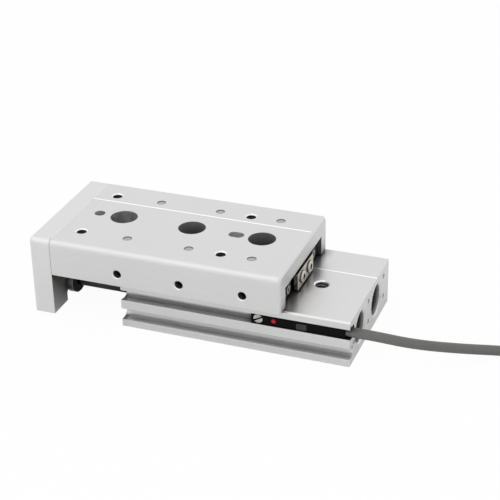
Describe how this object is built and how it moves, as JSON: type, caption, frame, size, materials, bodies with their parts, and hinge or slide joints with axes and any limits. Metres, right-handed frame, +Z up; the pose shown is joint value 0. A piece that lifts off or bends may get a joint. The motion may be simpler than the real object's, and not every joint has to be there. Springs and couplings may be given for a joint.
{
  "type": "pneumatic slide table",
  "caption": "Compact pneumatic slide table: a flat carriage on a crossed-roller guide, driven by air pistons in a grooved aluminium body, with an end plate and a position switch on a lead.",
  "frame": {"origin": "axis of the middle body thread, in the body's bottom face", "axes": "+X the way the table extends, +Y the switch side, +Z up from the mounting face to the table top"},
  "size_m": [0.136, 0.0482, 0.02],
  "materials": {
    "anodised_aluminium": "fine satin clear anodised",
    "guide_steel": "ground hardened steel",
    "nickel_plate": "satin nickel plate",
    "cage_brass": "stamped brass strip",
    "screw_steel": "plain stainless",
    "rod_steel": "ground stainless",
    "cap_aluminium": "dull turned",
    "black_rubber": "matt black nitrile",
    "magnet": "sintered grey",
    "switch_plastic": "moulded black",
    "switch_brass": "nickel plated",
    "switch_lens": "clear red",
    "cable_jacket": "smooth grey oil-proof sheath",
    "tie_plastic": "black strap",
    "core_brown": "smooth",
    "core_blue": "smooth",
    "tinned_copper": "tinned"
  },
  "bodies": {
    "cylinder": {"cylinder_body": "anodised_aluminium", "guide_block": "guide_steel", "guide_block_screws": "screw_steel", "roller_stopper_rear": "nickel_plate", "roller_stopper_front": "nickel_plate", "stopper_screws": "nickel_plate", "switch_body": "switch_plastic", "switch_screw": "switch_brass", "switch_led": "switch_lens", "sensor_cable": "cable_jacket", "cable_coil": "cable_jacket", "coil_tie": "tie_plastic", "cable_tail": "cable_jacket", "lead_core_brown": "core_brown", "lead_core_blue": "core_blue", "lead_tips": "tinned_copper", "head_cap_near": "cap_aluminium", "head_seal_near": "black_rubber", "rod_cover_near": "cap_aluminium", "cover_seal_near": "black_rubber", "rod_seal_near": "black_rubber", "head_cap_far": "cap_aluminium", "head_seal_far": "black_rubber", "rod_cover_far": "cap_aluminium", "cover_seal_far": "black_rubber", "rod_seal_far": "black_rubber"},
    "table": {"slide_table": "anodised_aluminium", "end_plate": "anodised_aluminium", "end_plate_bolts": "screw_steel", "rail_screws": "screw_steel", "rail_end_screws": "screw_steel", "preload_screws": "screw_steel", "piston_near": "cap_aluminium", "piston_seal_near": "black_rubber", "piston_magnet_near": "magnet", "piston_rod_near": "rod_steel", "rod_collar_near": "rod_steel", "rod_bumper_near": "black_rubber", "rail_near": "guide_steel", "piston_far": "cap_aluminium", "piston_seal_far": "black_rubber", "piston_magnet_far": "magnet", "piston_rod_far": "rod_steel", "rod_collar_far": "rod_steel", "rod_bumper_far": "black_rubber", "rail_far": "guide_steel"},
    "near_cage": {"roller_cage_near": "cage_brass", "rollers_near": "guide_steel"},
    "far_cage": {"roller_cage_far": "cage_brass", "rollers_far": "guide_steel"}
  },
  "joints": [
    {"name": "table_slide", "type": "slide", "parent": "cylinder", "child": "table", "axis": [1, 0, 0], "range_m": [-0.014, 0.006]},
    {"name": "near_cage_roll", "type": "slide", "parent": "cylinder", "child": "near_cage", "axis": [1, 0, 0], "range_m": [-0.007, 0.003]},
    {"name": "far_cage_roll", "type": "slide", "parent": "cylinder", "child": "far_cage", "axis": [1, 0, 0], "range_m": [-0.007, 0.003]}
  ],
  "couplings": [
    {"joint": "near_cage_roll", "follows": "table_slide", "ratio": 0.5},
    {"joint": "far_cage_roll", "follows": "table_slide", "ratio": 0.5}
  ]
}
